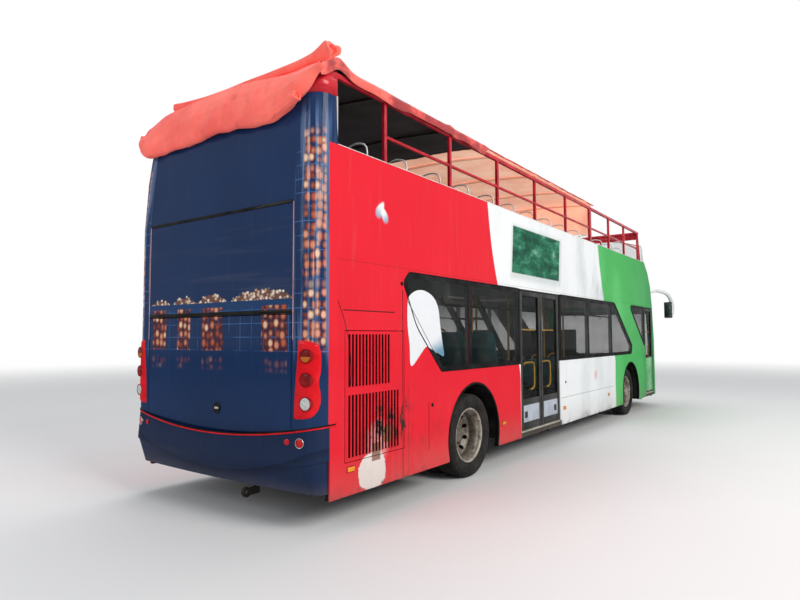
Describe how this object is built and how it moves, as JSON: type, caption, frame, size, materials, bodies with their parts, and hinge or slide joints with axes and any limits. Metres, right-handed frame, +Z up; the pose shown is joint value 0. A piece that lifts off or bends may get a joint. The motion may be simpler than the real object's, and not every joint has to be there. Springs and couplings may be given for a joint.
{
  "type": "open top double decker bus",
  "caption": "Two-axle open top double decker bus with a fabric-roofed open deck, red guard rails, a double middle door, a front door, steered front wheels and twin rear wheels.",
  "frame": {"origin": "on the ground under the middle of the bus's length with its mirrors, on its centreline", "axes": "+X forward, +Y to the bus's left, +Z up"},
  "size_m": [12.2797, 3.08, 4.1449],
  "materials": {
    "body_paint": "gloss wrap",
    "tail_wrap": "gloss wrap",
    "rail_red": "gloss paint",
    "frame_black": "satin",
    "door_black": "satin",
    "glass_dark": "tinted",
    "deck_floor": "non-slip sheet",
    "seat_shell": "moulded",
    "grab_yellow": "powder coat",
    "roof_fabric": "coated cloth",
    "lamp_lens": "clear lens",
    "mirror_shell": "moulded",
    "axle_iron": "painted",
    "wheel_steel": "silver paint",
    "tyre": "matte",
    "engine_iron": "cast"
  },
  "bodies": {
    "root": {"right_side_wall": "body_paint", "left_side_wall": "body_paint", "side_glazing": "glass_dark", "side_parapets": "body_paint", "front_mask": "body_paint", "upper_front_panel": "body_paint", "end_glazing": "glass_dark", "rear_panel": "tail_wrap", "rear_bumper": "tail_wrap", "upper_deck": "deck_floor", "lower_floor": "deck_floor", "rear_platform": "deck_floor", "wheel_box_walls": "deck_floor", "chassis_frame": "frame_black", "rear_frame": "frame_black", "engine_block": "engine_iron", "rear_axle": "axle_iron", "front_axle": "axle_iron", "side_rails": "rail_red", "front_guard": "rail_red", "roof_bows": "rail_red", "roof_canopy": "roof_fabric", "upper_seats": "seat_shell", "lower_seats": "seat_shell", "grab_poles": "grab_yellow", "staircase": "deck_floor", "driver_station": "frame_black", "mirrors": "mirror_shell", "lamps": "lamp_lens", "tow_eyes": "axle_iron"},
    "knuckle_right": {"knuckle_right": "axle_iron"},
    "knuckle_left": {"knuckle_left": "axle_iron"},
    "wheel_front_right": {"rim_front_right": "wheel_steel", "tyre_front_right": "tyre"},
    "wheel_front_left": {"rim_front_left": "wheel_steel", "tyre_front_left": "tyre"},
    "wheel_rear_right": {"rims_rear_right": "wheel_steel", "tyres_rear_right": "tyre"},
    "wheel_rear_left": {"rims_rear_left": "wheel_steel", "tyres_rear_left": "tyre"},
    "middle_door_rear": {"middle_door_rear_leaf": "door_black"},
    "middle_door_front": {"middle_door_front_leaf": "door_black"},
    "front_door": {"front_door_leaf": "door_black"},
    "engine_hatch": {"engine_hatch": "tail_wrap"},
    "grille_door": {"grille_door": "body_paint"}
  },
  "joints": [
    {"name": "steer_right", "type": "hinge", "parent": "root", "child": "knuckle_right", "pos_m": [3.05, -0.93, 0.468], "axis": [0, 0, 1], "range_deg": [-40, 40]},
    {"name": "steer_left", "type": "hinge", "parent": "root", "child": "knuckle_left", "pos_m": [3.05, 0.93, 0.468], "axis": [0, 0, 1], "range_deg": [-40, 40]},
    {"name": "roll_front_right", "type": "hinge", "parent": "knuckle_right", "child": "wheel_front_right", "pos_m": [3.05, -1.06, 0.468], "axis": [0, 1, 0], "continuous": true},
    {"name": "roll_front_left", "type": "hinge", "parent": "knuckle_left", "child": "wheel_front_left", "pos_m": [3.05, 1.06, 0.468], "axis": [0, 1, 0], "continuous": true},
    {"name": "roll_rear_right", "type": "hinge", "parent": "root", "child": "wheel_rear_right", "pos_m": [-3.45, -0.932, 0.468], "axis": [0, 1, 0], "continuous": true},
    {"name": "roll_rear_left", "type": "hinge", "parent": "root", "child": "wheel_rear_left", "pos_m": [-3.45, 0.932, 0.468], "axis": [0, 1, 0], "continuous": true},
    {"name": "open_middle_door_rear", "type": "hinge", "parent": "root", "child": "middle_door_rear", "pos_m": [-2.16, -1.245, 1.274], "axis": [0, 0, 1], "range_deg": [0, 88]},
    {"name": "open_middle_door_front", "type": "hinge", "parent": "root", "child": "middle_door_front", "pos_m": [-0.88, -1.245, 1.274], "axis": [0, 0, -1], "range_deg": [0, 88]},
    {"name": "open_front_door", "type": "hinge", "parent": "root", "child": "front_door", "pos_m": [4.88, -1.245, 1.274], "axis": [0, 0, -1], "range_deg": [0, 88]},
    {"name": "lift_engine_hatch", "type": "hinge", "parent": "root", "child": "engine_hatch", "pos_m": [-6.07, 0, 1.777], "axis": [0, 1, 0], "range_deg": [0, 75]},
    {"name": "open_grille_door", "type": "hinge", "parent": "root", "child": "grille_door", "pos_m": [-4.847, -1.275, 1.095], "axis": [0, 0, 1], "range_deg": [0, 90]}
  ],
  "couplings": [
    {"joint": "steer_left", "follows": "steer_right", "ratio": 1}
  ]
}
